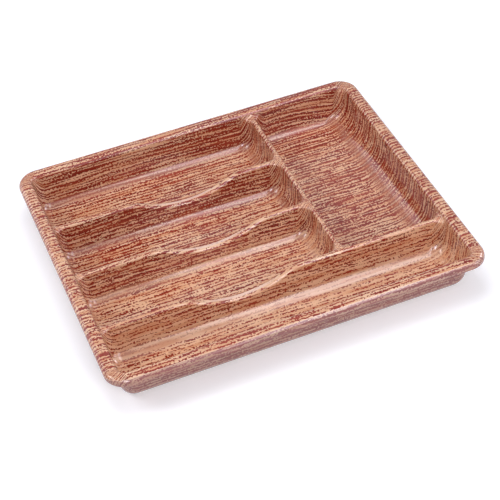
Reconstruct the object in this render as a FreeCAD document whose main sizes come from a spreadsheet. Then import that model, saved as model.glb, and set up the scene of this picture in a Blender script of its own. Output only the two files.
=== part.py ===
import FreeCAD, Part
import Sketcher
import math
import os

# Cutlery tray formed from one printed sheet. X runs along the tray, the front is at -Y, Z is up.
# The origin is the middle of the underside.

doc = FreeCAD.newDocument("cutlery_tray")
sheet = doc.addObject("Spreadsheet::Sheet", "Sizes")

SIZES = (
    # Overall size and sheet
    ("length", "360"),
    ("width", "302"),
    ("height", "41"),
    ("sheet", "2"),
    # Rim
    ("rim_corner", "20"),
    ("mouth_inset", "12.8"),
    ("roll_radius", "5"),
    ("mouth_radius", "4"),
    ("lip_depth", "6"),
    # Compartments
    ("wall_draft", "5.5"),
    ("divider_draft", "4.5"),
    ("corner_radius", "6"),
    # Dividers
    ("crest_drop", "5"),
    ("crest_depth", "3"),
    ("crest_ease", "1.2"),
    ("row_divider_width", "5.7"),
    ("cross_divider_width", "4.8"),
    # Middle lines of the dividers, as shares of the width from the front or of the length from the left
    ("row_divider_1_share", "0.7129"),
    ("row_divider_2_share", "0.4825"),
    ("front_divider_share", "0.2417"),
    ("cross_divider_share", "0.6811"),
    # Finger scoop in the dividers, with its middle as a share of the length from the left
    ("scoop_middle_share", "0.4056"),
    ("scoop_width", "124"),
    ("scoop_depth", "15"),
    ("scoop_shoulder_share", "0.3"),
    # Reach of a divider beyond its crest, and of a cut beyond what it cuts
    ("flare_margin", "1"),
    ("overrun", "5"),
)
for row, (alias, value) in enumerate(SIZES, start=1):
    sheet.set(f"A{row}", alias)
    sheet.set(f"B{row}", value)
    sheet.setAlias(f"B{row}", alias)
doc.recompute()


def size(alias):
    return float(sheet.get(alias))


# Heights, as expressions of the sheet
CREST_TOP = "(Sizes.height - Sizes.crest_drop)"
CREST_UNDER = "(Sizes.height - Sizes.crest_drop - Sizes.crest_depth)"
LIP_BOTTOM = "(Sizes.height - Sizes.lip_depth)"
ABOVE_RIM = "(Sizes.height + Sizes.overrun)"

# Middle lines of the dividers and of the scoop, measured from the tray's middle
ROW_DIVIDER_1 = "(Sizes.row_divider_1_share * Sizes.width - Sizes.width / 2)"
ROW_DIVIDER_2 = "(Sizes.row_divider_2_share * Sizes.width - Sizes.width / 2)"
FRONT_DIVIDER = "(Sizes.front_divider_share * Sizes.width - Sizes.width / 2)"
CROSS_DIVIDER = "(Sizes.cross_divider_share * Sizes.length - Sizes.length / 2)"
SCOOP_MIDDLE = "(Sizes.scoop_middle_share * Sizes.length - Sizes.length / 2)"

# Slopes of the walls
WALL_SLOPE = "tan(Sizes.wall_draft * 1deg)"
DIVIDER_SLOPE = "tan(Sizes.divider_draft * 1deg)"


def outer_wall(overall, z):
    """Distance from the middle to the inner face of an outer wall at the height z."""
    return f"(Sizes.{overall} / 2 - Sizes.mouth_inset - (Sizes.height - {z}) * {WALL_SLOPE})"


def divider_half(width, z):
    """Half of a divider's thickness at the height z."""
    return f"(Sizes.{width} / 2 + ({CREST_TOP} - {z}) * {DIVIDER_SLOPE})"


def right_wall(z):
    return outer_wall("length", z)


def left_wall(z):
    return f"(-{outer_wall('length', z)})"


def back_wall(z):
    return outer_wall("width", z)


def front_wall(z):
    return f"(-{outer_wall('width', z)})"


def beside(position, width, side):
    """The face of a divider on its plus or minus side, as a function of the height."""
    return lambda z: f"({position} {side} {divider_half(width, z)})"


# Each compartment's left, right, front and back faces
COMPARTMENTS = {
    "row_1_compartment": (
        left_wall,
        beside(CROSS_DIVIDER, "cross_divider_width", "-"),
        beside(ROW_DIVIDER_1, "row_divider_width", "+"),
        back_wall,
    ),
    "row_2_compartment": (
        left_wall,
        beside(CROSS_DIVIDER, "cross_divider_width", "-"),
        beside(ROW_DIVIDER_2, "row_divider_width", "+"),
        beside(ROW_DIVIDER_1, "row_divider_width", "-"),
    ),
    "row_3_compartment": (
        left_wall,
        beside(CROSS_DIVIDER, "cross_divider_width", "-"),
        beside(FRONT_DIVIDER, "row_divider_width", "+"),
        beside(ROW_DIVIDER_2, "row_divider_width", "-"),
    ),
    "side_compartment": (
        beside(CROSS_DIVIDER, "cross_divider_width", "+"),
        right_wall,
        beside(FRONT_DIVIDER, "row_divider_width", "+"),
        back_wall,
    ),
    "front_compartment": (
        left_wall,
        right_wall,
        front_wall,
        beside(FRONT_DIVIDER, "row_divider_width", "-"),
    ),
}


def origin_plane(body, role):
    return next(plane for plane in body.Origin.OriginFeatures if plane.Role == role)


def edge_names(shape, wanted):
    """Names of the edges whose two end points satisfy the test."""
    found = []
    for index, edge in enumerate(shape.Edges, start=1):
        if len(edge.Vertexes) == 2 and wanted(edge.Vertexes[0].Point, edge.Vertexes[1].Point):
            found.append(f"Edge{index}")
    return found


def near(first, second):
    return abs(first - second) < Part.Precision.approximation()


def round_edges(body, base, name, radius, wanted):
    """Round the chosen edges of a body's latest feature."""
    doc.recompute()
    rounded = body.newObject("PartDesign::Fillet", name)
    rounded.Base = (base, edge_names(base.Shape, wanted))
    rounded.setExpression("Radius", radius)
    body.Tip = rounded
    doc.recompute()
    return rounded


def ease_edges(body, base, name, ease, names):
    """Cut the named edges of a body's latest feature back to a narrow slope."""
    eased = body.newObject("PartDesign::Chamfer", name)
    eased.Base = (base, names)
    eased.setExpression("Size", ease)
    body.Tip = eased
    doc.recompute()
    return eased


def drafted_block(name, faces, bottom, top, grow):
    """A block with sloping sides between two heights, each side moved outwards by grow."""
    left, right, front, back = faces
    body = doc.addObject("PartDesign::Body", name)
    wedge = body.newObject("PartDesign::AdditiveWedge", f"{name}_block")
    wedge.AttachmentSupport = [(origin_plane(body, "XZ_Plane"), "")]
    wedge.MapMode = "FlatFace"
    bounds = {
        "Xmin": f"{left(bottom)} - {grow}",
        "Xmax": f"{right(bottom)} + {grow}",
        "X2min": f"{left(top)} - {grow}",
        "X2max": f"{right(top)} + {grow}",
        "Ymin": bottom,
        "Ymax": top,
        "Zmin": f"-{back(bottom)} - {grow}",
        "Zmax": f"-{front(bottom)} + {grow}",
        "Z2min": f"-{back(top)} - {grow}",
        "Z2max": f"-{front(top)} + {grow}",
    }
    for prop, expression in bounds.items():
        wedge.setExpression(prop, expression)
    body.Tip = wedge
    doc.recompute()
    return body, wedge


def compartment_block(name, faces, bottom, top, grow):
    """The form of a compartment: sloping sides, with one radius round every edge but the upper ones."""
    body, wedge = drafted_block(name, faces, bottom, top, grow)
    high = wedge.Shape.BoundBox.ZMax

    def below_top(first, second):
        return not (near(first.z, high) and near(second.z, high))

    round_edges(body, wedge, f"{name}_edges", f"Sizes.corner_radius + {grow}", below_top)
    return body


def common(name, members):
    result = doc.addObject("Part::MultiCommon", name)
    result.Shapes = members
    return result


def cut(name, base, tool):
    result = doc.addObject("Part::Cut", name)
    result.Base = base
    result.Tool = tool
    return result


def group(name, members):
    result = doc.addObject("Part::Compound", name)
    result.Links = members
    return result


def attached_sketch(body, name, role, offset):
    """An empty sketch on one of the body's own planes, moved along that plane's normal."""
    sketch = body.newObject("Sketcher::SketchObject", name)
    sketch.AttachmentSupport = [(origin_plane(body, role), "")]
    sketch.MapMode = "FlatFace"
    sketch.setExpression("AttachmentOffset.Base.z", offset)
    return sketch


def bind(sketch, name, constraint, expression):
    index = sketch.addConstraint(constraint)
    sketch.renameConstraint(index, name)
    sketch.setExpression(f"Constraints.{name}", expression)


# Indexes of the ends of a sketch line or arc and of its centre, and the sketch's own origin
START_INDEX, END_INDEX, CENTRE_INDEX = 1, 2, 3
ORIGIN = (-1, START_INDEX)
UPRIGHT = FreeCAD.Vector(0, 0, 1)


# Finger scoop: two shoulder arcs, each tangent to the level crest and to the hollow between them
SCOOP_HALF = "(Sizes.scoop_width / 2)"
SCOOP_RADII = f"(({SCOOP_HALF} ^ 2 + Sizes.scoop_depth ^ 2) / (2 * Sizes.scoop_depth))"
SHOULDER = f"({SCOOP_RADII} * Sizes.scoop_shoulder_share)"
HOLLOW = f"({SCOOP_RADII} * (1 - Sizes.scoop_shoulder_share))"


def scoop_profile(sketch, drop, x_from, x_to, closing):
    """Outline from the scooped crest line, lowered by drop, to a level line at the closing height."""
    half = size("scoop_width") / 2
    both = (half**2 + size("scoop_depth") ** 2) / (2 * size("scoop_depth"))
    shoulder = both * size("scoop_shoulder_share")
    hollow = both - shoulder
    level = size("height") - size("crest_drop")
    middle = (size("scoop_middle_share") - 1 / 2) * size("length")
    far = size("length") / 2
    lean = math.asin(half / both)
    upward = math.pi / 2

    def arc(x, z, radius, begin, finish):
        circle = Part.Circle(FreeCAD.Vector(x, z, 0), UPRIGHT, radius)
        return sketch.addGeometry(Part.ArcOfCircle(circle, begin, finish))

    shoulder_z = level - shoulder
    left_arc = arc(middle - half, shoulder_z, shoulder, upward - lean, upward)
    hollow_z = level - size("scoop_depth") + hollow
    hollow_arc = arc(middle, hollow_z, hollow, -upward - lean, -upward + lean)
    right_arc = arc(middle + half, shoulder_z, shoulder, upward, upward + lean)

    def line(x_start, z_start, x_end, z_end):
        ends = (FreeCAD.Vector(x_start, z_start, 0), FreeCAD.Vector(x_end, z_end, 0))
        return sketch.addGeometry(Part.LineSegment(*ends))

    left_level = line(-far, level, middle - half, level)
    right_level = line(middle + half, level, far, level)
    right_side = line(far, level, far, 0)
    base = line(far, 0, -far, 0)
    left_side = line(-far, 0, -far, level)
    tangents = (
        (left_level, END_INDEX, left_arc, END_INDEX),
        (left_arc, START_INDEX, hollow_arc, START_INDEX),
        (hollow_arc, END_INDEX, right_arc, END_INDEX),
        (right_arc, START_INDEX, right_level, START_INDEX),
    )
    for ends in tangents:
        sketch.addConstraint(Sketcher.Constraint("Tangent", *ends))
    outline = (right_level, right_side, base, left_side, left_level)
    for before, after in zip(outline, outline[1:]):
        sketch.addConstraint(Sketcher.Constraint("Coincident", before, END_INDEX, after, START_INDEX))
    for flat in (left_level, right_level, base):
        sketch.addConstraint(Sketcher.Constraint("Horizontal", flat))
    for upright in (right_side, left_side):
        sketch.addConstraint(Sketcher.Constraint("Vertical", upright))
    radii = (
        ("left_shoulder", left_arc, shoulder, f"{SHOULDER} - {drop}"),
        ("right_shoulder", right_arc, shoulder, f"{SHOULDER} - {drop}"),
        ("hollow", hollow_arc, hollow, f"{HOLLOW} + {drop}"),
    )
    for name, curve, radius, expression in radii:
        bind(sketch, name, Sketcher.Constraint("Radius", curve, radius), expression)
    places = (
        ("scoop_middle", "DistanceX", *ORIGIN, hollow_arc, CENTRE_INDEX, middle, SCOOP_MIDDLE),
        ("scoop_left", "DistanceX", left_arc, CENTRE_INDEX, hollow_arc, CENTRE_INDEX, half, SCOOP_HALF),
        ("scoop_right", "DistanceX", hollow_arc, CENTRE_INDEX, right_arc, CENTRE_INDEX, half, SCOOP_HALF),
        ("level", "DistanceY", *ORIGIN, left_level, START_INDEX, level, f"{CREST_TOP} - {drop}"),
        ("from", "DistanceX", *ORIGIN, left_level, START_INDEX, -far, x_from),
        ("to", "DistanceX", *ORIGIN, right_level, END_INDEX, far, x_to),
        ("closing", "DistanceY", *ORIGIN, base, START_INDEX, 0, closing),
    )
    for name, kind, *ends, place, expression in places:
        bind(sketch, name, Sketcher.Constraint(kind, *ends, place), expression)


def scooped_bar(name, drop, closing, x_range, y_range):
    """A bar across a divider whose upper or lower face is the scooped crest line."""
    body = doc.addObject("PartDesign::Body", name)
    sketch = attached_sketch(body, f"{name}_profile", "XZ_Plane", f"-({y_range[1]})")
    scoop_profile(sketch, drop, *x_range, closing)
    doc.recompute()
    pad = body.newObject("PartDesign::Pad", f"{name}_pad")
    pad.Profile = sketch
    pad.setExpression("Length", f"{y_range[1]} - ({y_range[0]})")
    body.Tip = pad
    doc.recompute()
    return body


# The space inside each compartment, and the space inside the whole rim
FLOOR = "Sizes.sheet"
spaces = {
    name: compartment_block(f"{name}_space", faces, FLOOR, ABOVE_RIM, "0")
    for name, faces in COMPARTMENTS.items()
}
all_spaces = group("all_spaces", list(spaces.values()))
WHOLE = (left_wall, right_wall, front_wall, back_wall)


def is_upright(first, second):
    return abs(first.z - second.z) > abs(first.x - second.x) + abs(first.y - second.y)


mouth, mouth_block = drafted_block("mouth", WHOLE, FLOOR, ABOVE_RIM, "0")
round_edges(mouth, mouth_block, "mouth_corners", "Sizes.corner_radius", is_upright)

# Where each divider reaches, with the flares at its ends
FLARE = "(Sizes.corner_radius + Sizes.flare_margin)"


def reach(position, width):
    half = f"(Sizes.{width} / 2 + {FLARE})"
    return (f"({position} - {half})", f"({position} + {half})")


CROSS_X = reach(CROSS_DIVIDER, "cross_divider_width")
FRONT_Y = reach(FRONT_DIVIDER, "row_divider_width")
LEFT_END, RIGHT_END = "(-Sizes.length / 2)", "(Sizes.length / 2)"
FRONT_END, BACK_END = "(-Sizes.width / 2)", "(Sizes.width / 2)"
SCOOPED = {
    "row_divider_1": ((LEFT_END, CROSS_X[0]), reach(ROW_DIVIDER_1, "row_divider_width")),
    "row_divider_2": ((LEFT_END, CROSS_X[0]), reach(ROW_DIVIDER_2, "row_divider_width")),
    "front_divider": ((LEFT_END, RIGHT_END), FRONT_Y),
}
crests = {}
clearances = []
for name, (x_range, y_range) in SCOOPED.items():
    clearance = scooped_bar(f"{name}_clearance", "Sizes.crest_depth", ABOVE_RIM, x_range, y_range)
    below_crest = scooped_bar(f"{name}_bar", "0", "0", x_range, y_range)
    clearances.append(clearance)
    crests[name] = (below_crest, common(f"{name}_band", [below_crest, clearance, mouth]))

cross_bar = doc.addObject("Part::Box", "cross_divider_bar")
cross_bar.setExpression("Length", f"{CROSS_X[1]} - {CROSS_X[0]}")
cross_bar.setExpression("Width", f"{BACK_END} - {FRONT_Y[1]}")
cross_bar.setExpression("Height", "Sizes.crest_depth")
cross_bar.setExpression("Placement.Base.x", CROSS_X[0])
cross_bar.setExpression("Placement.Base.y", FRONT_Y[1])
cross_bar.setExpression("Placement.Base.z", CREST_UNDER)
crests["cross_divider"] = (cross_bar, common("cross_divider_band", [cross_bar, mouth]))
doc.recompute()


def crest_edges(shape, bar):
    """Names of the edges between a crest's upper face and the compartments beside it."""
    upper = Part.makeCompound([face for face in bar.Shape.Faces if face.normalAt(0, 0).z > 0])
    found = []
    for index, edge in enumerate(shape.Edges, start=1):
        middle = Part.Vertex(edge.valueAt((edge.FirstParameter + edge.LastParameter) / 2))
        on_top = near(middle.distToShape(upper)[0], 0)
        if on_top and near(middle.distToShape(all_spaces.Shape)[0], 0):
            found.append(f"Edge{index}")
    return found


pieces = []
for name, (bar, band) in crests.items():
    sharp = cut(f"{name}_sharp", band, all_spaces)
    doc.recompute()
    body = doc.addObject("PartDesign::Body", name)
    body.BaseFeature = sharp
    doc.recompute()
    base = body.Group[0]
    ease_edges(body, base, f"{name}_crest", "Sizes.crest_ease", crest_edges(base.Shape, bar))
    pieces.append(body)
doc.recompute()

# Each compartment is a thin shell with an even wall, cut down under the scoops
all_clearances = group("all_clearances", clearances)
for name, faces in COMPARTMENTS.items():
    outside = compartment_block(f"{name}_outside", faces, "0", CREST_UNDER, "Sizes.sheet")
    shell = cut(f"{name}_shell", outside, spaces[name])
    tub = cut(name, shell, all_clearances)
    pieces.append(tub)
doc.recompute()

# The rim: a band rolled over along its outer edge, hollow below, whose inner leg stands on the walls
OUTLINE = tuple(
    lambda z, place=place: place for place in (LEFT_END, RIGHT_END, FRONT_END, BACK_END)
)


def cornered_block(name, bottom, top, grow, corner):
    """A block with the tray's outline and rounded corners, and a test for its upper edges."""
    body, block = drafted_block(name, OUTLINE, bottom, top, grow)
    crown = block.Shape.BoundBox.ZMax
    cornered = round_edges(body, block, f"{name}_corners", corner, is_upright)

    def at_crown(first, second):
        return near(first.z, crown) and near(second.z, crown)

    return body, cornered, at_crown


RIM_TOP = "Sizes.height"
band, band_base, at_crown = cornered_block("rim_band", LIP_BOTTOM, RIM_TOP, "0", "Sizes.rim_corner")
round_edges(band, band_base, "rim_band_roll", "Sizes.roll_radius", at_crown)

# The slope inside the roll leaves the sheet's full thickness at the roll's steepest place
HOLLOW_EASE = "((Sizes.roll_radius - Sizes.sheet) * (2 - sqrt(2)))"
hollow, hollow_base, at_crown = cornered_block(
    "rim_hollow",
    f"({LIP_BOTTOM} - Sizes.overrun)",
    "(Sizes.height - Sizes.sheet)",
    "(-Sizes.sheet)",
    "Sizes.rim_corner - Sizes.sheet",
)
ease_edges(hollow, hollow_base, "rim_hollow_ease", HOLLOW_EASE, edge_names(hollow_base.Shape, at_crown))
leg, leg_block = drafted_block("rim_leg", WHOLE, CREST_UNDER, "(Sizes.height - Sizes.sheet / 2)", FLOOR)
round_edges(leg, leg_block, "rim_leg_corners", "Sizes.corner_radius + Sizes.sheet", is_upright)
flange = doc.addObject("Part::Fuse", "rim_flange")
flange.Base = cut("rim_shell", band, hollow)
flange.Tool = leg
open_flange = cut("rim_sharp", flange, mouth)
doc.recompute()
rim = doc.addObject("PartDesign::Body", "rim")
rim.BaseFeature = open_flange
doc.recompute()
rim_base = rim.Group[0]
rim_top = size("height")


def at_mouth(first, second):
    """The upper edge of the mouth lies at the mouth's inset, well inside the rolled outer edge."""
    limit = (size("mouth_inset") + size("roll_radius")) / 2
    for point in (first, second):
        from_side = size("length") / 2 - abs(point.x)
        from_front = size("width") / 2 - abs(point.y)
        if not near(point.z, rim_top) or min(from_side, from_front) < limit:
            return False
    return True


round_edges(rim, rim_base, "rim_mouth_roll", "Sizes.mouth_radius", at_mouth)
pieces.append(rim)

# Every object must be sound before anything is written
faults = [item.Name for item in doc.Objects if "Invalid" in item.State or "Error" in item.State]
for piece in pieces:
    if piece.Shape.isNull() or not piece.Shape.isValid():
        faults.append(piece.Name)
if faults:
    raise RuntimeError(f"faulty: {faults}")
os.makedirs("parts", exist_ok=True)
for piece in pieces:
    piece.Shape.exportStep(f"parts/{piece.Label}.step")
    print(piece.Label, len(piece.Shape.Solids), round(piece.Shape.Volume), piece.Shape.BoundBox)
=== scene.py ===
import math
from collections import namedtuple

import bmesh
import bpy
import numpy as np
from mathutils import Matrix, Vector

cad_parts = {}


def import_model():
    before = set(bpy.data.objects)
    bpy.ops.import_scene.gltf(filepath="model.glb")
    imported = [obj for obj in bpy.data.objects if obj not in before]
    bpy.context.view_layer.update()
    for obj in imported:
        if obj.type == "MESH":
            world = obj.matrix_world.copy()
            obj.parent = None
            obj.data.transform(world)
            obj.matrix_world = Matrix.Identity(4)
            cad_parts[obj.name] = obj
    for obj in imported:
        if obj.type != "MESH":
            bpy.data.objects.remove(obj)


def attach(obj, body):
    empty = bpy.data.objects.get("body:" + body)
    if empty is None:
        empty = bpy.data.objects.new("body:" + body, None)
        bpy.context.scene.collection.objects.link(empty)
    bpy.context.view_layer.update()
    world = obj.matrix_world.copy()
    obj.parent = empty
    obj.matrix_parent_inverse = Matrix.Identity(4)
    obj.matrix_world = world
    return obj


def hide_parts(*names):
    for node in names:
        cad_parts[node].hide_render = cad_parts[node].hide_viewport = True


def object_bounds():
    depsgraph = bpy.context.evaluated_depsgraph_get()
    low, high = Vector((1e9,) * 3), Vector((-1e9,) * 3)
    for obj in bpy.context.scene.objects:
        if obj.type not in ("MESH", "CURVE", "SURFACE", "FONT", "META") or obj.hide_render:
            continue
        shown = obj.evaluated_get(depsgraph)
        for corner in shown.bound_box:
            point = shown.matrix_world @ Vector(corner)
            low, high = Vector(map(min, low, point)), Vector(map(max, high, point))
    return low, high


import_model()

# A cutlery tray formed from one printed sheet. Metres, X along the rows, the front at -Y, Z up.
# The upper surface is built as one mesh and cut into one closed piece for each CAD node.
# The print is laid by each point's place on the sheet before it was formed.

MM = 0.001
CAD_LOW, CAD_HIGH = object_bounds()
HALF_X, HALF_Y, TOP = CAD_HIGH

# Sheet and slopes of the walls
SHEET = 2.0 * MM
THINNED_SHEET = 1.5 * MM
THINNING_TOP = 25.0 * MM
WALL_DRAFT = math.radians(5.5)
DIVIDER_DRAFT = math.radians(4.5)
WALL_SLOPE = math.tan(WALL_DRAFT)
DIVIDER_SLOPE = math.tan(DIVIDER_DRAFT)

# Radii between the floors and the walls, and of the upright corners at the walls and at the floor
LEFT_RADIUS = 9.0 * MM
SIDE_RADIUS = 9.5 * MM
END_RADIUS = 14.0 * MM
WIDE_RADIUS = 22.0 * MM
CORNER_RADIUS = 10.0 * MM
FLOOR_CORNER = 6.0 * MM

# Rim
RIM_CORNER = 20.0 * MM
MOUTH_INSET = 12.8 * MM
MOUTH_ROLL = 4.0 * MM
OUTER_ROLL = 5.0 * MM
LIP_DEPTH = 6.0 * MM

# Dividers: the place of the middle line, and the whole width of the crest
ROW_WIDTH = 5.7 * MM
CROSS_WIDTH = 4.8 * MM
DIVIDERS = {
    "row_divider_1": (64.3 * MM, ROW_WIDTH),
    "row_divider_2": (-5.3 * MM, ROW_WIDTH),
    "front_divider": (-78.0 * MM, ROW_WIDTH),
    "cross_divider": (65.2 * MM, CROSS_WIDTH),
}

# Crests: drop below the rim, depth of the divider's own piece, and where the rounding starts
CREST_DROP = 5.0 * MM
CREST = TOP - CREST_DROP
CREST_DEPTH = 3.0 * MM
CREST_EASE = 2.9 * MM
EDGE_ROUNDNESS = 0.55

# Finger scoop in the dividers that run along X
SCOOP_X = -34.0 * MM
SCOOP_HALF = 62.0 * MM
SCOOP_DEPTH = 15.0 * MM
SCOOP_SHOULDER_SHARE = 0.3

# Where the roll of the mouth hands over to the walls and to the ends of the crests
MOUTH_TILT = math.radians(68)
ROLL_INSET = MOUTH_INSET + MOUTH_ROLL * WALL_SLOPE - MOUTH_ROLL * math.hypot(1, WALL_SLOPE)
MOUTH_LINE_INSET = ROLL_INSET + MOUTH_ROLL * math.sin(MOUTH_TILT)
MOUTH_LINE_Z = TOP - MOUTH_ROLL * (1 - math.cos(MOUTH_TILT))
MOUTH_X = HALF_X - MOUTH_LINE_INSET
MOUTH_Y = HALF_Y - MOUTH_LINE_INSET
MOUTH_CORNER = RIM_CORNER - MOUTH_LINE_INSET
CREST_END_RADIUS = (MOUTH_LINE_Z - CREST) / (1 - math.cos(MOUTH_TILT))
CREST_END_RUN = CREST_END_RADIUS * math.sin(MOUTH_TILT)

# How much longer an outer wall is than its run in plan
WALL_EXTRA = (MOUTH_LINE_Z - SHEET) / math.cos(WALL_DRAFT) - SIDE_RADIUS * (2 - math.pi / 2)

# Fineness of the mesh; the shares are heights in a floor's radius and on a wall, and steps of an edge
CORNER_STEPS = 16
HALF_CORNER = CORNER_STEPS // 2
STRAIGHT_STEP = 3.5 * MM
FEWEST_STEPS = 2
FILLET_SHARES = (0, 0.012, 0.045, 0.1, 0.175, 0.27, 0.38, 0.51, 0.65, 0.82, 1)
WALL_SHARES = (0.35, 0.7, 1)
EDGE_SHARES = (0.17, 0.34, 0.5, 0.66, 0.83, 1)
SEAM_LEVEL = len(FILLET_SHARES) + len(WALL_SHARES) - 1
ROLL_STEPS = 8
SLOPE_STEP = 0.1 * MM
WELD = 0.001 * MM

# The compartments, with what stands at their left, right, front and back
CELLS = {
    "row_1_compartment": ("rim", "cross_divider", "row_divider_1", "rim"),
    "row_2_compartment": ("rim", "cross_divider", "row_divider_2", "row_divider_1"),
    "row_3_compartment": ("rim", "cross_divider", "front_divider", "row_divider_2"),
    "side_compartment": ("cross_divider", "rim", "front_divider", "rim"),
    "front_compartment": ("rim", "rim", "rim", "front_divider"),
}
NODES = ["rim", *CELLS, *DIVIDERS]
SIDES = ("left", "right", "front", "back")
OUTWARD = {"left": (-1, 0), "right": (1, 0), "front": (0, -1), "back": (0, 1)}

# The mesh attribute with a point's place on the flat sheet, and in Z how full of lines the print is.
# Fullness is about 0 to 1, lower on crests worn pale with a painted highlight, and OUTSIDE on the sheet's
# outside and on the front roll, which take painted shade and reflection.
FLAT_PLACE = "flat_place"
PRINT_FULLNESS = {
    "rim": 0.46,
    "row_1_compartment": 0.5,
    "row_2_compartment": 0.55,
    "row_3_compartment": 0.39,
    "side_compartment": 0.61,
    "front_compartment": 0.21,
}
CREST_FULLNESS = 0.4
DIP_FULLNESS = -0.3
OUTSIDE = -3.0
RIGHT_WALL_THINNER = 0.16
BACK_RIM_FULLER = 0.12
WALL_FULLER = 0.12

# Points of a section that belong to the crest, to the lip, and to the roll along the front that takes
# painted reflection and shade
CREST_POINTS = 2
LIP_POINTS = 2
FRONT_REFLECTION_POINTS = 5

# Noise of the print: length of its features along and across the grain, and levels of finer detail
Cloud = namedtuple("Cloud", "along across detail")
WANDER = Cloud(55 * MM, 8 * MM, 2.0)
DASHES = Cloud(11 * MM, 3.0 * MM, 2.0)
STREAKS = Cloud(50 * MM, 3.0 * MM, 2.0)
PATCHES = Cloud(85 * MM, 24 * MM, 1.0)
SPECKLES = Cloud(2.0 * MM, 1.2 * MM, 0.0)
SHADES = Cloud(50 * MM, 4 * MM, 2.0)
RIPPLES = Cloud(9 * MM, 9 * MM, 2.0)
NOISE_MIDDLE = 0.5
NOISE_SPAN = (-0.5, 0.5)

# Lines of the print: their pitch, how far they wander, and what makes them thicker and thinner
LINE_PITCH = 4.0 * MM
WANDER_REACH = 6.5 * MM
DASH_WEIGHT = 1.7
PATCH_WEIGHT = 0.6
SPECKLE_WEIGHT = 1.6
LINE_EDGE = (-0.05, 0.06)
CALM_SPAN = (95 * MM, 135 * MM)

# The band of heights in the floor's radius where the sheet is drawn out and the lines are smeared
DRAWN_FROM = (2.0 * MM, 4.5 * MM)
DRAWN_TO = (5.5 * MM, 10.5 * MM)
SMEAR_SHARE = 0.6
SMEAR_FULLNESS = (0.36, 0.52)
SMEAR_INK = (0.05, 0.7)

# Spans of fullness below zero that count as worn, with a painted highlight, and as outside, with painted
# shade and reflection, and how much of each colour shows
WORN_HIGHLIGHT_SPAN = (-0.15, 0.3)
OUTSIDE_SPAN = (0.7, 1.4)
WORN_HIGHLIGHT_SHARE = 0.36
PAINTED_SHADE_SHARE = 0.55
OUTSIDE_FULLNESS = 0.45

# Colours of the print and of painted shade, reflection and highlight, in linear light
PEACH = (0.76, 0.475, 0.31, 1)
TAN = (0.63, 0.305, 0.165, 1)
BROWN = (0.2, 0.01, 0.004, 1)
RED_BROWN = (0.3, 0.034, 0.014, 1)
# Painted shade and reflection of the floor on the outside, the lip and the front roll
SHADE_AND_REFLECTION_MAUVE = (0.3, 0.145, 0.14, 1)
# Pale worn colour on the crests in the dips, partly wear and partly a painted highlight
WORN_AND_HIGHLIGHT = (0.84, 0.7, 0.72, 1)
BASE_SPAN = (-0.15, 0.2)
INK_SPAN = (-0.2, 0.2)

# Relief and gloss of the plastic
INK_RELIEF = -0.02
BUMP_STRENGTH = 0.1
BUMP_HEIGHT = 0.28 * MM
ROUGHNESS_SPAN = (0.22, 0.3)
PLASTIC_IOR = 1.5
SPECULAR_LEVEL = 0.18
COAT_WEIGHT = 0.8
COAT_ROUGHNESS = 0.13

# Camera, fitted to the photograph
CAMERA_AZIMUTH = math.radians(-19.21)
CAMERA_ELEVATION = math.radians(43.58)
CAMERA_ROLL = math.radians(-4.42)
CAMERA_DISTANCE = 1341.72 * MM
AIM_RIGHT = 4.70 * MM
AIM_UP = -3.59 * MM
FOCAL_PIXELS = 1409.07
PICTURE_PIXELS = 500

# Floor and world; the floor looks brighter from near the tray to far from it
FLOOR_SIZE = 20.0
FLOOR_GAP = 0.2 * MM
FLOOR_COLOUR = (0.86, 0.87, 0.93, 1)
FLOOR_SPAN = (0.35, 1.4)
FLOOR_LIFT = (0.32, 1.0)
WHITE = (1, 1, 1, 1)
WORLD_COLOUR = (0.96, 0.95, 1, 1)
WORLD_LEVEL = (0.26, 1.0)
NO_TO_YES = (0, 1)

# Lamps, in metres and watts. Some give no highlights, and some give nothing but cool highlights.
COOL = (0.9, 0.88, 1.0)
Lamp = namedtuple("Lamp", "name place size power diffuse gloss", defaults=(True, True))
LAMPS = (
    Lamp("overhead", (-0.05, 0.12, 1.3), (0.8, 0.8), 7.2, gloss=False),
    Lamp("front", (0.4, -0.75, 0.98), (0.34, 1.1), 3.4),
    Lamp("front_low", (0.3, -1.1, 0.5), (0.5, 0.4), 3.8, gloss=False),
    Lamp("front_gloss", (0.37, -0.7, 1.0), (0.34, 1.3), 4.4, diffuse=False),
    Lamp("right_front_gloss", (0.85, -0.62, 0.55), (0.5, 0.4), 3.4, diffuse=False),
    Lamp("camera_side_gloss", (-0.36, -0.8, 0.88), (0.36, 0.36), 6.0, diffuse=False),
    Lamp("left", (-0.9, 0.2, 0.92), (0.45, 0.45), 5.2),
    Lamp("right_gloss", (1.15, 0.1, 0.75), (0.45, 0.45), 6.0, diffuse=False),
    Lamp("back_left_gloss", (-0.75, 0.8, 0.5), (0.7, 0.5), 1.6, diffuse=False),
)


def scoop_line(x):
    """Height of a scooped crest: level, then a shoulder arc, then the hollow's arc."""
    radii = (SCOOP_HALF**2 + SCOOP_DEPTH**2) / (2 * SCOOP_DEPTH)
    shoulder = radii * SCOOP_SHOULDER_SHARE
    hollow = radii - shoulder
    away = abs(x - SCOOP_X)
    if away >= SCOOP_HALF:
        return CREST
    if away > SCOOP_HALF * hollow / radii:
        return CREST - shoulder + math.sqrt(shoulder**2 - (SCOOP_HALF - away) ** 2)
    return CREST - SCOOP_DEPTH + hollow - math.sqrt(hollow**2 - away**2)


def crest_end_rise(distance):
    """How far the middle of a crest has risen towards the mouth, at a distance from the mouth line."""
    if distance >= CREST_END_RUN:
        return 0
    return CREST_END_RADIUS - math.sqrt(CREST_END_RADIUS**2 - (CREST_END_RUN - distance) ** 2)


def crest_line(divider, x, y):
    """Height of a divider's middle line."""
    if divider == "cross_divider":
        return CREST + crest_end_rise(MOUTH_Y - y)
    return scoop_line(x) + crest_end_rise(MOUTH_X - abs(x))


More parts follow.
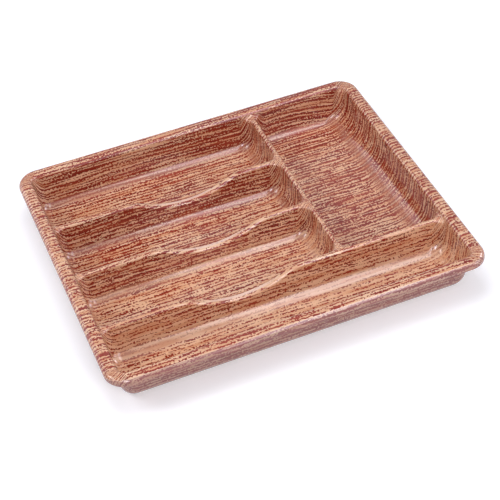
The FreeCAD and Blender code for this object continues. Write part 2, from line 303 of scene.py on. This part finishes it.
def side_face(side, neighbour, z):
    """Place of a compartment's wall at the height z, before the floor's radius."""
    outward = sum(OUTWARD[side])
    if neighbour == "rim":
        half = HALF_X if side in ("left", "right") else HALF_Y
        return outward * (half - MOUTH_INSET - (TOP - z) * WALL_SLOPE)
    middle, width = DIVIDERS[neighbour]
    return middle - outward * (width / 2 + (CREST - z) * DIVIDER_SLOPE)


def fillet_inset(radius, height):
    """How far a floor's radius stands in from the wall at a height above the floor."""
    if height >= radius:
        return 0
    return radius - math.sqrt(radius**2 - (radius - height) ** 2)


def stops(low, high, low_corner, high_corner):
    """Places along one side of a compartment: two corners and a straight run between them."""
    straight_low, straight_high = low + low_corner, high - high_corner
    count = max(FEWEST_STEPS, round((straight_high - straight_low) / STRAIGHT_STEP))
    return np.concatenate([
        np.linspace(low, straight_low, HALF_CORNER + 1)[:-1],
        np.linspace(straight_low, straight_high, count + 1),
        np.linspace(straight_high, high, HALF_CORNER + 1)[1:],
    ])


def joined(*runs):
    """Runs of places that follow each other, with the shared ends kept once."""
    return np.concatenate([runs[0]] + [run[1:] for run in runs[1:]])


# Places of the mesh's columns along X and Y, shared by the compartments that meet there
ROW_CORNER = CORNER_RADIUS + ROW_WIDTH / 2
CROSS_CORNER = CORNER_RADIUS + CROSS_WIDTH / 2
MIDDLE = {divider: middle for divider, (middle, width) in DIVIDERS.items()}
ROWS_X = stops(-MOUTH_X, MIDDLE["cross_divider"], MOUTH_CORNER, CROSS_CORNER)
SIDE_X = stops(MIDDLE["cross_divider"], MOUTH_X, CROSS_CORNER, MOUTH_CORNER)
FRONT_Y = stops(-MOUTH_Y, MIDDLE["front_divider"], MOUTH_CORNER, ROW_CORNER)
ROW_3_Y = stops(MIDDLE["front_divider"], MIDDLE["row_divider_2"], ROW_CORNER, ROW_CORNER)
ROW_2_Y = stops(MIDDLE["row_divider_2"], MIDDLE["row_divider_1"], ROW_CORNER, ROW_CORNER)
ROW_1_Y = stops(MIDDLE["row_divider_1"], MOUTH_Y, ROW_CORNER, MOUTH_CORNER)
WHOLE_X = joined(ROWS_X, SIDE_X)
WHOLE_Y = joined(FRONT_Y, ROW_3_Y, ROW_2_Y, ROW_1_Y)
GRIDS = {
    "row_1_compartment": (ROWS_X, ROW_1_Y),
    "row_2_compartment": (ROWS_X, ROW_2_Y),
    "row_3_compartment": (ROWS_X, ROW_3_Y),
    "side_compartment": (SIDE_X, joined(ROW_3_Y, ROW_2_Y, ROW_1_Y)),
    "front_compartment": (WHOLE_X, FRONT_Y),
}


class Station:
    """One place on the way round a compartment, counter-clockwise from its front left corner."""

    def __init__(self, xs, ys, i, j, side):
        self.i, self.j, self.side = i, j, side
        self.edge_x, self.edge_y = xs[i], ys[j]
        last_x, last_y = len(xs) - 1, len(ys) - 1
        self.share_x = (xs[i] - xs[HALF_CORNER]) / (xs[last_x - HALF_CORNER] - xs[HALF_CORNER])
        self.share_y = (ys[j] - ys[HALF_CORNER]) / (ys[last_y - HALF_CORNER] - ys[HALF_CORNER])
        near_left, near_right = i < HALF_CORNER, i > last_x - HALF_CORNER
        near_front, near_back = j < HALF_CORNER, j > last_y - HALF_CORNER
        self.corner = (near_left or near_right) and (near_front or near_back)
        self.at_left, self.at_front = near_left, near_front
        from_left = i if near_left else last_x - i
        from_front = j if near_front else last_y - j
        self.turn = (HALF_CORNER + from_left - from_front) / CORNER_STEPS if self.corner else 0

    def direction(self):
        """Outward direction in plan."""
        if not self.corner:
            return np.array(OUTWARD[self.side], float)
        angle = self.turn * math.pi / 2
        x = -math.cos(angle) if self.at_left else math.cos(angle)
        y = -math.sin(angle) if self.at_front else math.sin(angle)
        return np.array((x, y))


def way_round(xs, ys):
    """All stations round a compartment or round the rim."""
    last_x, last_y = len(xs) - 1, len(ys) - 1
    places = [(i, 0, "front") for i in range(last_x)]
    places += [(last_x, j, "right") for j in range(last_y)]
    places += [(i, last_y, "back") for i in range(last_x, 0, -1)]
    places += [(0, j, "left") for j in range(last_y, 0, -1)]
    return [Station(xs, ys, *place) for place in places]


def right_radius(cell):
    """Radius between a compartment's floor and its right wall."""
    return WIDE_RADIUS if cell == "side_compartment" else END_RADIUS


def back_radius(cell):
    """Radius between a compartment's floor and its back wall."""
    return END_RADIUS if cell == "front_compartment" else SIDE_RADIUS


def wall_point(cell, station, z):
    """Point of a compartment's wall at one station and height."""
    height = z - SHEET
    left, right, front, back = (side_face(side, near, z) for side, near in zip(SIDES, CELLS[cell]))
    left += fillet_inset(LEFT_RADIUS, height)
    right -= fillet_inset(right_radius(cell), height)
    front += fillet_inset(SIDE_RADIUS, height)
    back -= fillet_inset(back_radius(cell), height)
    floor_share = fillet_inset(SIDE_RADIUS, height) / SIDE_RADIUS
    radius = CORNER_RADIUS + (FLOOR_CORNER - CORNER_RADIUS) * floor_share
    low, high = np.array((left, front)) + radius, np.array((right, back)) - radius
    if station.corner:
        x = low[0] if station.at_left else high[0]
        y = low[1] if station.at_front else high[1]
        x, y = np.array((x, y)) + radius * station.direction()
    elif station.side in ("front", "back"):
        x = low[0] + station.share_x * (high[0] - low[0])
        y = front if station.side == "front" else back
    else:
        x = left if station.side == "left" else right
        y = low[1] + station.share_y * (high[1] - low[1])
    return np.array((x, y, z))


def rim_corner_middle(x, y):
    """Middle of the rim's corner arc in the quarter of the tray where x and y are."""
    corner = np.array((math.copysign(HALF_X, x), math.copysign(HALF_Y, y)))
    return corner - np.sign(corner) * RIM_CORNER


def mouth_edge(x, y, out):
    """Point and surface normal of the mouth line, where the rim's roll begins."""
    tilted = -out * math.sin(MOUTH_TILT)
    return np.array((x, y, MOUTH_LINE_Z)), np.array((*tilted, math.cos(MOUTH_TILT)))


def crest_edge(divider, x, y):
    """Point and surface normal of a crest's middle line."""
    along_x, along_y = (0, 1) if divider == "cross_divider" else (1, 0)
    ahead = crest_line(divider, x + along_x * SLOPE_STEP, y + along_y * SLOPE_STEP)
    behind = crest_line(divider, x - along_x * SLOPE_STEP, y - along_y * SLOPE_STEP)
    slope = (ahead - behind) / (2 * SLOPE_STEP)
    normal = np.array((-slope * along_x, -slope * along_y, 1))
    return np.array((x, y, crest_line(divider, x, y))), normal / np.linalg.norm(normal)


def edge_point(cell, station):
    """Where a station meets the rim or the middle of a crest: owner, point and surface normal."""
    near = dict(zip(SIDES, CELLS[cell]))
    owner = near[station.side]
    x, y = station.edge_x, station.edge_y
    side_x = "left" if station.at_left else "right"
    side_y = "front" if station.at_front else "back"
    if station.corner and near[side_x] == near[side_y] == "rim":
        out = station.direction()
        x, y = rim_corner_middle(x, y) + out * MOUTH_CORNER
        return owner, *mouth_edge(x, y, out)
    if owner == "rim":
        return owner, *mouth_edge(x, y, np.array(OUTWARD[station.side], float))
    return owner, *crest_edge(owner, x, y)


def eased_path(start, start_direction, end, end_normal):
    """Points of a smooth curve that leaves the wall upright and lands flat on the crest or the mouth."""
    across = end - start
    landing = across - end_normal * across.dot(end_normal)
    rise = abs(end[2] - start[2])
    handle_1 = start + start_direction * rise * EDGE_ROUNDNESS
    handle_2 = end - landing * EDGE_ROUNDNESS
    points = []
    for share in EDGE_SHARES[:-1]:
        rest = 1 - share
        ends = rest**3 * start + share**3 * end
        points.append(ends + 3 * rest**2 * share * handle_1 + 3 * rest * share**2 * handle_2)
    return points + [end]


def station_column(cell, station):
    """All points of one station, from the floor to the crest or the mouth, with the owner of the top."""
    owner, edge, normal = edge_point(cell, station)
    scooped = owner in DIVIDERS and owner != "cross_divider" and not station.corner
    crest = scoop_line(station.edge_x) if scooped else CREST
    at_right = station.side == "right" or (station.corner and not station.at_left)
    radius = right_radius(cell) if at_right else END_RADIUS
    heights = [SHEET + share * radius for share in FILLET_SHARES]
    seam = crest - CREST_DEPTH
    heights += [heights[-1] + share * (seam - heights[-1]) for share in WALL_SHARES]
    heights.append(crest - CREST_EASE)
    column = [wall_point(cell, station, z) for z in heights]
    rising = column[-1] - column[-2]
    column += eased_path(column[-1], rising / np.linalg.norm(rising), edge, normal)
    return owner, column


def laid_flat(points, out, run_before=0):
    """Places of a section's points on the sheet before forming, in the direction out from the first."""
    points = np.array(points)
    steps = np.linalg.norm(np.diff(points, axis=0), axis=1)
    run = run_before + np.concatenate([[0], np.cumsum(steps)])
    plan = points[:, :2]
    extra = run - (plan - plan[0]) @ out
    return plan + np.outer(extra, out)


class Surface:
    """The upper surface of the tray, with each face's node and each corner's place on the flat sheet."""

    def __init__(self):
        self.mesh = bmesh.new()
        self.node = self.mesh.faces.layers.int.new("node")
        self.flat = self.mesh.loops.layers.float_vector.new(FLAT_PLACE)
        self.flat_of = {}

    def points(self, places, flat_places, prints):
        """New points; prints says how full of lines the print is at each, or that it takes the outside's
        mauve of painted shade and reflection.
        """
        made = []
        for place, flat, fullness in zip(places, flat_places, prints):
            made.append(self.mesh.verts.new(place))
            self.flat_of[made[-1]] = (*flat, fullness)
        return made

    def face(self, corners, node):
        new = self.mesh.faces.new(corners)
        new[self.node] = NODES.index(node)
        for loop in new.loops:
            loop[self.flat] = self.flat_of[loop.vert]

    def band(self, columns, node_at):
        """Faces between each column of points and the next, all the way round."""
        for here, column in enumerate(columns):
            after = columns[(here + 1) % len(columns)]
            for level in range(len(column) - 1):
                corners = (column[level], column[level + 1], after[level + 1], after[level])
                self.face(corners, node_at(here, level))

    def faces_of(self, node):
        tag = NODES.index(node)
        return [face for face in self.mesh.faces if face[self.node] == tag]


def column_prints(cell, station, owner, column):
    """How full the print is at each point of a compartment's column."""
    prints = [PRINT_FULLNESS[cell]] * len(column)
    if cell == "side_compartment":
        thinner = RIGHT_WALL_THINNER * max(0, station.direction()[0])
        wall_points = len(column) - len(FILLET_SHARES)
        prints[-wall_points:] = [PRINT_FULLNESS[cell] - thinner] * wall_points
    if owner in DIVIDERS:
        # In the dips the crest is worn pale, partly wear and partly a painted highlight
        dip = max(0, (CREST - column[-1][2]) / SCOOP_DEPTH)
        fullness = CREST_FULLNESS + dip * (DIP_FULLNESS - CREST_FULLNESS)
        prints[-CREST_POINTS:] = [fullness] * CREST_POINTS
    return prints


def add_compartment(surface, cell):
    """A compartment's walls, with its half of the crests round it, and its floor."""
    stations = way_round(*GRIDS[cell])
    owners, columns = [], []
    for station in stations:
        owner, column = station_column(cell, station)
        prints = column_prints(cell, station, owner, column)
        owners.append(owner)
        columns.append(surface.points(column, laid_flat(column, station.direction()), prints))
    surface.band(columns, lambda here, level: cell if level < SEAM_LEVEL else owners[here])
    add_floor(surface, cell, stations, [column[0] for column in columns])


def add_floor(surface, cell, stations, ring):
    """The flat floor: a grid inside the lowest ring, strips between them, and a fan in each corner."""
    end_i, end_j = (len(places) - 1 for places in GRIDS[cell])
    first, last_i, last_j = HALF_CORNER, end_i - HALF_CORNER, end_j - HALF_CORNER
    on_ring = {(station.i, station.j): point for station, point in zip(stations, ring)}
    grid = {}
    for i in range(first, last_i + 1):
        for j in range(first, last_j + 1):
            x, y = on_ring[i, 0].co.x, on_ring[0, j].co.y
            grid[i, j] = surface.points([(x, y, SHEET)], [(x, y)], [PRINT_FULLNESS[cell]])[0]
    for i in range(first, last_i):
        for j in range(first, last_j):
            surface.face((grid[i, j], grid[i + 1, j], grid[i + 1, j + 1], grid[i, j + 1]), cell)
        surface.face((on_ring[i, 0], on_ring[i + 1, 0], grid[i + 1, first], grid[i, first]), cell)
        surface.face((grid[i, last_j], grid[i + 1, last_j], on_ring[i + 1, end_j], on_ring[i, end_j]), cell)
    for j in range(first, last_j):
        surface.face((on_ring[0, j], grid[first, j], grid[first, j + 1], on_ring[0, j + 1]), cell)
        surface.face((grid[last_i, j], on_ring[end_i, j], on_ring[end_i, j + 1], grid[last_i, j + 1]), cell)
    for here, station in enumerate(stations):
        after = (here + 1) % len(stations)
        if station.corner or stations[after].corner:
            at = station if station.corner else stations[after]
            middle = grid[first if at.at_left else last_i, first if at.at_front else last_j]
            surface.face((ring[here], ring[after], middle), cell)


def rim_profile():
    """The rim's section from the mouth line outwards: inset from the outer edge, and height."""
    section = []
    for step in range(ROLL_STEPS + 1):
        angle = MOUTH_TILT * (1 - step / ROLL_STEPS)
        inset = ROLL_INSET + MOUTH_ROLL * math.sin(angle)
        section.append((inset, TOP - MOUTH_ROLL * (1 - math.cos(angle))))
    section.append(((ROLL_INSET + OUTER_ROLL) / 2, TOP))
    for step in range(ROLL_STEPS + 1):
        angle = math.pi / 2 * step / ROLL_STEPS
        inset = OUTER_ROLL * (1 - math.sin(angle))
        section.append((inset, TOP - OUTER_ROLL * (1 - math.cos(angle))))
    section.append((0, TOP - LIP_DEPTH))
    return section


def rim_section(station):
    """Points of the rim's section at one station."""
    out = station.direction()
    section = []
    for inset, z in rim_profile():
        x, y = station.edge_x, station.edge_y
        if station.corner:
            x, y = rim_corner_middle(x, y) + out * (RIM_CORNER - inset)
        elif station.side in ("left", "right"):
            x = out[0] * (HALF_X - inset)
        else:
            y = out[1] * (HALF_Y - inset)
        section.append((x, y, z))
    return section


def add_rim(surface):
    """The rim, from sections at the places where the compartments meet the mouth line."""
    sections = []
    for station in way_round(WHOLE_X, WHOLE_Y):
        out = station.direction()
        section = rim_section(station)
        # The lip, and along the front more of the roll, take the mauve of painted shade and reflection
        outside_and_shade = LIP_POINTS + round(FRONT_REFLECTION_POINTS * max(0, -out[1]))
        fullness = PRINT_FULLNESS["rim"] + BACK_RIM_FULLER * max(0, out[1])
        prints = [fullness] * (len(section) - outside_and_shade) + [OUTSIDE] * outside_and_shade
        sections.append(surface.points(section, laid_flat(section, out, WALL_EXTRA), prints))
    surface.band(sections, lambda here, level: "rim")


def whole_surface():
    surface = Surface()
    for cell in CELLS:
        add_compartment(surface, cell)
    add_rim(surface)
    mesh = surface.mesh
    bmesh.ops.remove_doubles(mesh, verts=mesh.verts, dist=WELD)
    mesh.normal_update()
    mesh.verts.index_update()
    return surface


def sheet_thickness(z):
    """The sheet is thickest at the floor, and stretched thinner towards the crests and the rim."""
    share = min(1, max(0, (z - SHEET) / (THINNING_TOP - SHEET)))
    return SHEET + (THINNED_SHEET - SHEET) * share


class Shell:
    """One node's part of the sheet as a closed form: upper faces, lower faces and the border between."""

    def __init__(self, surface, node):
        faces = surface.faces_of(node)
        corners = {corner for face in faces for corner in face.verts}
        corners = sorted(corners, key=lambda corner: corner.index)
        place = {corner: index for index, corner in enumerate(corners)}
        self.under = len(corners)
        self.normals = [corner.normal.copy() for corner in corners]
        self.points = [corner.co.copy() for corner in corners]
        self.points += [corner.co - corner.normal * sheet_thickness(corner.co.z) for corner in corners]
        self.upper = [[place[corner] for corner in face.verts] for face in faces]
        self.upper_flat = [[loop[surface.flat].copy() for loop in face.loops] for face in faces]
        self.lower = [[index + self.under for index in reversed(face)] for face in self.upper]
        # The lower faces take the outside's mauve, which is painted shade and reflection
        self.lower_flat = [
            [Vector((*flat.xy, OUTSIDE)) for flat in reversed(flats)] for flats in self.upper_flat
        ]
        self.sides, self.sides_flat = self.border()

    def border(self):
        """Faces that join the upper faces to the lower ones, and their places on the flat sheet."""
        edges = {}
        for face, flats in zip(self.upper, self.upper_flat):
            for k in range(len(face)):
                edges[face[k - 1], face[k]] = (flats[k - 1], flats[k])
        sides, sides_flat = [], []
        for a, b in sorted(edge for edge in edges if edge[::-1] not in edges):
            flat_a, flat_b = edges[a, b]
            sides.append([b, a, a + self.under, b + self.under])
            sides_flat.append([flat_b, flat_a, flat_a, flat_b])
        return sides, sides_flat

    def corner_normals(self, mesh):
        """The whole surface's normals above and below, so that no seam shows, and the border's own."""
        normals = []
        for polygon in mesh.polygons:
            for index in polygon.vertices:
                if polygon.index < len(self.upper):
                    normals.append(self.normals[index])
                elif polygon.index < len(self.upper) + len(self.lower):
                    normals.append(-self.normals[index - self.under])
                else:
                    normals.append(polygon.normal.copy())
        return normals

    def mesh(self, name):
        mesh = bpy.data.meshes.new(name)
        mesh.from_pydata(self.points, [], self.upper + self.lower + self.sides)
        mesh.polygons.foreach_set("use_smooth", [True] * len(mesh.polygons))
        mesh.normals_split_custom_set(self.corner_normals(mesh))
        every_face = self.upper_flat + self.lower_flat + self.sides_flat
        flats = np.array([flat for flats in every_face for flat in flats])
        attribute = mesh.attributes.new(FLAT_PLACE, "FLOAT_VECTOR", "CORNER")
        attribute.data.foreach_set("vector", flats.ravel())
        return mesh


def sheet_piece(surface, node, material):
    """The piece that shows one node."""
    mesh = Shell(surface, node).mesh(node + "_sheet")
    mesh.materials.append(material)
    piece = bpy.data.objects.new(node + "_sheet", mesh)
    bpy.context.scene.collection.objects.link(piece)
    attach(piece, "root")
    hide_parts(node)


class Nodes:
    """Short calls for building the nodes of a material or the world."""

    def __init__(self, owner):
        owner.use_nodes = True
        self.tree = owner.node_tree
        self.tree.nodes.clear()

    def new(self, kind, inputs=None, **settings):
        """A node with its settings, and its inputs linked or set, by name or by place."""
        node = self.tree.nodes.new(kind)
        for name, value in settings.items():
            setattr(node, name, value)
        for name, value in (inputs or {}).items():
            if isinstance(value, bpy.types.NodeSocket):
                self.tree.links.new(value, node.inputs[name])
            else:
                node.inputs[name].default_value = value
        return node

    def math(self, operation, *values):
        return self.new("ShaderNodeMath", dict(enumerate(values)), operation=operation).outputs[0]

    def parts(self, vector):
        return self.new("ShaderNodeSeparateXYZ", {"Vector": vector}).outputs

    def ramp(self, value, span):
        """A smooth rise from 0 to 1 over a span."""
        inputs = {"Value": value, "From Min": span[0], "From Max": span[1]}
        return self.new("ShaderNodeMapRange", inputs, interpolation_type="SMOOTHSTEP").outputs["Result"]

    def spread(self, value, span, onto):
        """A value's place in one span, taken to the same place in another."""
        inputs = {"Value": value, "From Min": span[0], "From Max": span[1]}
        inputs |= {"To Min": onto[0], "To Max": onto[1]}
        return self.new("ShaderNodeMapRange", inputs).outputs["Result"]

    def mix_numbers(self, share, first, second):
        """A Mix node's inputs share their names, so they go by place, here and for colours."""
        return self.new("ShaderNodeMix", {0: share, 2: first, 3: second}, data_type="FLOAT").outputs[0]

    def mix_colours(self, share, first, second):
        return self.new("ShaderNodeMix", {0: share, 6: first, 7: second}, data_type="RGBA").outputs[2]

    def cloud(self, place, form):
        """Noise in about NOISE_SPAN whose features have the lengths that form gives."""
        scale = (1 / form.along, 1 / form.across, 1)
        mapped = self.new("ShaderNodeMapping", {"Vector": place, "Scale": scale}).outputs["Vector"]
        inputs = {"Vector": mapped, "Scale": 1.0, "Detail": form.detail}
        noise = self.new("ShaderNodeTexNoise", inputs, noise_dimensions="2D").outputs["Fac"]
        return self.math("SUBTRACT", noise, NOISE_MIDDLE)


def grain(nodes, place, fullness, calm):
    """Ragged lines along X, broken into dashes or calm and long: above zero inside a line."""
    wander = nodes.math("MULTIPLY", nodes.cloud(place, WANDER), WANDER_REACH)
    across = nodes.math("ADD", nodes.parts(place)["Y"], wander)
    half = 0.5
    from_line = nodes.math("PINGPONG", nodes.math("DIVIDE", across, LINE_PITCH), half)
    from_line = nodes.math("DIVIDE", from_line, half)
    broken = nodes.mix_numbers(calm, nodes.cloud(place, DASHES), nodes.cloud(place, STREAKS))
    width = nodes.math("MULTIPLY_ADD", broken, DASH_WEIGHT, fullness)
    width = nodes.math("MULTIPLY_ADD", nodes.cloud(place, PATCHES), PATCH_WEIGHT, width)
    width = nodes.math("MULTIPLY_ADD", nodes.cloud(place, SPECKLES), SPECKLE_WEIGHT, width)
    return nodes.math("SUBTRACT", width, from_line)


def printed_ink(nodes, place, outside_and_shade):
    """How much ink lies at each point: the lines, smeared where the sheet is drawn out."""
    flat = nodes.parts(place)
    at = nodes.new("ShaderNodeTexCoord").outputs
    tilt = nodes.math("SUBTRACT", 1.0, nodes.math("ABSOLUTE", nodes.parts(at["Normal"])["Z"]))
    fullness = nodes.mix_numbers(outside_and_shade, flat["Z"], OUTSIDE_FULLNESS)
    fullness = nodes.math("MULTIPLY_ADD", tilt, WALL_FULLER, fullness)
    calm = nodes.ramp(flat["Y"], CALM_SPAN)
    lines = nodes.ramp(grain(nodes, place, fullness, calm), LINE_EDGE)
    height = nodes.parts(at["Object"])["Z"]
    drawn_out = nodes.math("SUBTRACT", nodes.ramp(height, DRAWN_FROM), nodes.ramp(height, DRAWN_TO))
    smeared = nodes.spread(flat["Z"], SMEAR_FULLNESS, SMEAR_INK)
    return nodes.mix_numbers(nodes.math("MULTIPLY", drawn_out, SMEAR_SHARE), lines, smeared)


def print_colour(nodes, place, ink, worn_and_highlight, outside_and_shade):
    """Base and ink in shades that drift along the grain, paler with a painted highlight where worn, and
    mauve of painted shade and reflection outside.
    """
    shade = nodes.cloud(place, SHADES)
    base = nodes.mix_colours(nodes.ramp(shade, BASE_SPAN), PEACH, TAN)
    dark = nodes.mix_colours(nodes.ramp(shade, INK_SPAN), BROWN, RED_BROWN)
    colour = nodes.mix_colours(ink, base, dark)
    # Pale worn crests in the dips, partly wear and partly a painted highlight
    colour = nodes.mix_colours(nodes.math("MULTIPLY", worn_and_highlight, WORN_HIGHLIGHT_SHARE), colour, WORN_AND_HIGHLIGHT)
    # Mauve of painted shade and reflection on the outside, the lip and the front roll
    return nodes.mix_colours(nodes.math("MULTIPLY", outside_and_shade, PAINTED_SHADE_SHARE), colour, SHADE_AND_REFLECTION_MAUVE)


def wood_print():
    """Glossy plastic sheet printed with a coarse wood grain."""
    material = bpy.data.materials.new("wood_print")
    nodes = Nodes(material)
    place = nodes.new("ShaderNodeAttribute", attribute_name=FLAT_PLACE).outputs["Vector"]
    below_zero = nodes.math("MULTIPLY", nodes.parts(place)["Z"], -1.0)
    # Masks: the outside with painted shade and reflection, and worn crests with a painted highlight
    outside_and_shade = nodes.ramp(below_zero, OUTSIDE_SPAN)
    worn_and_highlight = nodes.math("SUBTRACT", nodes.ramp(below_zero, WORN_HIGHLIGHT_SPAN), outside_and_shade)
    ink = printed_ink(nodes, place, outside_and_shade)
    ripple = nodes.cloud(place, RIPPLES)
    relief = nodes.math("MULTIPLY_ADD", ink, INK_RELIEF, ripple)
    bump = nodes.new("ShaderNodeBump", {
        "Height": relief, "Strength": BUMP_STRENGTH, "Distance": BUMP_HEIGHT,
    })
    shader = nodes.new("ShaderNodeBsdfPrincipled", {
        "Base Color": print_colour(nodes, place, ink, worn_and_highlight, outside_and_shade),
        "Roughness": nodes.spread(ripple, NOISE_SPAN, ROUGHNESS_SPAN),
        "Normal": bump.outputs["Normal"],
        "IOR": PLASTIC_IOR,
        "Specular IOR Level": SPECULAR_LEVEL,
        "Coat Weight": COAT_WEIGHT,
        "Coat Roughness": COAT_ROUGHNESS,
    })
    nodes.new("ShaderNodeOutputMaterial", {"Surface": shader.outputs["BSDF"]})
    return material


def camera():
    """The photograph's viewpoint."""
    level = Vector((math.cos(CAMERA_AZIMUTH), math.sin(CAMERA_AZIMUTH), 0))
    back = Vector((
        math.sin(CAMERA_AZIMUTH) * math.cos(CAMERA_ELEVATION),
        -math.cos(CAMERA_AZIMUTH) * math.cos(CAMERA_ELEVATION),
        math.sin(CAMERA_ELEVATION),
    ))
    upright = back.cross(level)
    right = math.cos(CAMERA_ROLL) * level + math.sin(CAMERA_ROLL) * upright
    up = math.cos(CAMERA_ROLL) * upright - math.sin(CAMERA_ROLL) * level
    data = bpy.data.cameras.new("camera")
    data.lens = FOCAL_PIXELS / PICTURE_PIXELS * data.sensor_width
    data.clip_end = FLOOR_SIZE
    obj = bpy.data.objects.new("camera", data)
    turn = Matrix((right, up, back)).transposed().to_4x4()
    place = right * AIM_RIGHT + up * AIM_UP + back * CAMERA_DISTANCE
    obj.matrix_world = Matrix.Translation(place) @ turn
    bpy.context.scene.collection.objects.link(obj)
    bpy.context.scene.camera = obj


def floor_white():
    """A pale matt floor that keeps the shadow and looks white to the camera and in reflections."""
    material = bpy.data.materials.new("floor_white")
    nodes = Nodes(material)
    diffuse = nodes.new("ShaderNodeBsdfDiffuse", {"Color": FLOOR_COLOUR})
    path = nodes.new("ShaderNodeLightPath").outputs
    seen = nodes.math("MAXIMUM", path["Is Camera Ray"], path["Is Glossy Ray"])
    place = nodes.new("ShaderNodeTexCoord").outputs["Object"]
    distance = nodes.new("ShaderNodeVectorMath", {0: place}, operation="LENGTH").outputs["Value"]
    strength = nodes.math("MULTIPLY", seen, nodes.spread(distance, FLOOR_SPAN, FLOOR_LIFT))
    glow = nodes.new("ShaderNodeEmission", {"Color": WHITE, "Strength": strength})
    both = nodes.new("ShaderNodeAddShader", {0: diffuse.outputs[0], 1: glow.outputs[0]})
    nodes.new("ShaderNodeOutputMaterial", {"Surface": both.outputs[0]})
    return material


def floor():
    mesh = bpy.data.meshes.new("floor")
    half = FLOOR_SIZE / 2
    corners = [(-half, -half, 0), (half, -half, 0), (half, half, 0), (-half, half, 0)]
    mesh.from_pydata(corners, [], [range(len(corners))])
    mesh.materials.append(floor_white())
    obj = bpy.data.objects.new("floor", mesh)
    obj.location.z = CAD_LOW.z - FLOOR_GAP
    bpy.context.scene.collection.objects.link(obj)


def world():
    """Dim even light on the tray, and white where the world is seen or reflected."""
    studio = bpy.data.worlds.new("studio")
    nodes = Nodes(studio)
    path = nodes.new("ShaderNodeLightPath").outputs
    seen = nodes.math("MAXIMUM", path["Is Camera Ray"], path["Is Transmission Ray"])
    seen = nodes.math("MAXIMUM", seen, path["Is Glossy Ray"])
    strength = nodes.spread(seen, NO_TO_YES, WORLD_LEVEL)
    light = nodes.new("ShaderNodeBackground", {"Color": WORLD_COLOUR, "Strength": strength})
    nodes.new("ShaderNodeOutputWorld", {"Surface": light.outputs[0]})
    bpy.context.scene.world = studio


def softbox(lamp):
    """A rectangular lamp that faces the tray, with its second side along Y."""
    data = bpy.data.lights.new(lamp.name, "AREA")
    data.shape = "RECTANGLE"
    data.size, data.size_y = lamp.size
    data.energy = lamp.power
    if not lamp.diffuse:
        data.color = COOL
    obj = bpy.data.objects.new(lamp.name, data)
    obj.visible_diffuse, obj.visible_glossy = lamp.diffuse, lamp.gloss
    away = Vector(lamp.place).normalized()
    side = Vector((0, 1, 0)).cross(away).normalized()
    turn = Matrix((side, away.cross(side), away)).transposed().to_4x4()
    obj.matrix_world = Matrix.Translation(lamp.place) @ turn
    bpy.context.scene.collection.objects.link(obj)


def main():
    surface = whole_surface()
    material = wood_print()
    for node in NODES:
        sheet_piece(surface, node, material)
    surface.mesh.free()
    floor()
    world()
    for lamp in LAMPS:
        softbox(lamp)
    camera()
    bpy.context.scene.view_settings.view_transform = "Standard"


main()
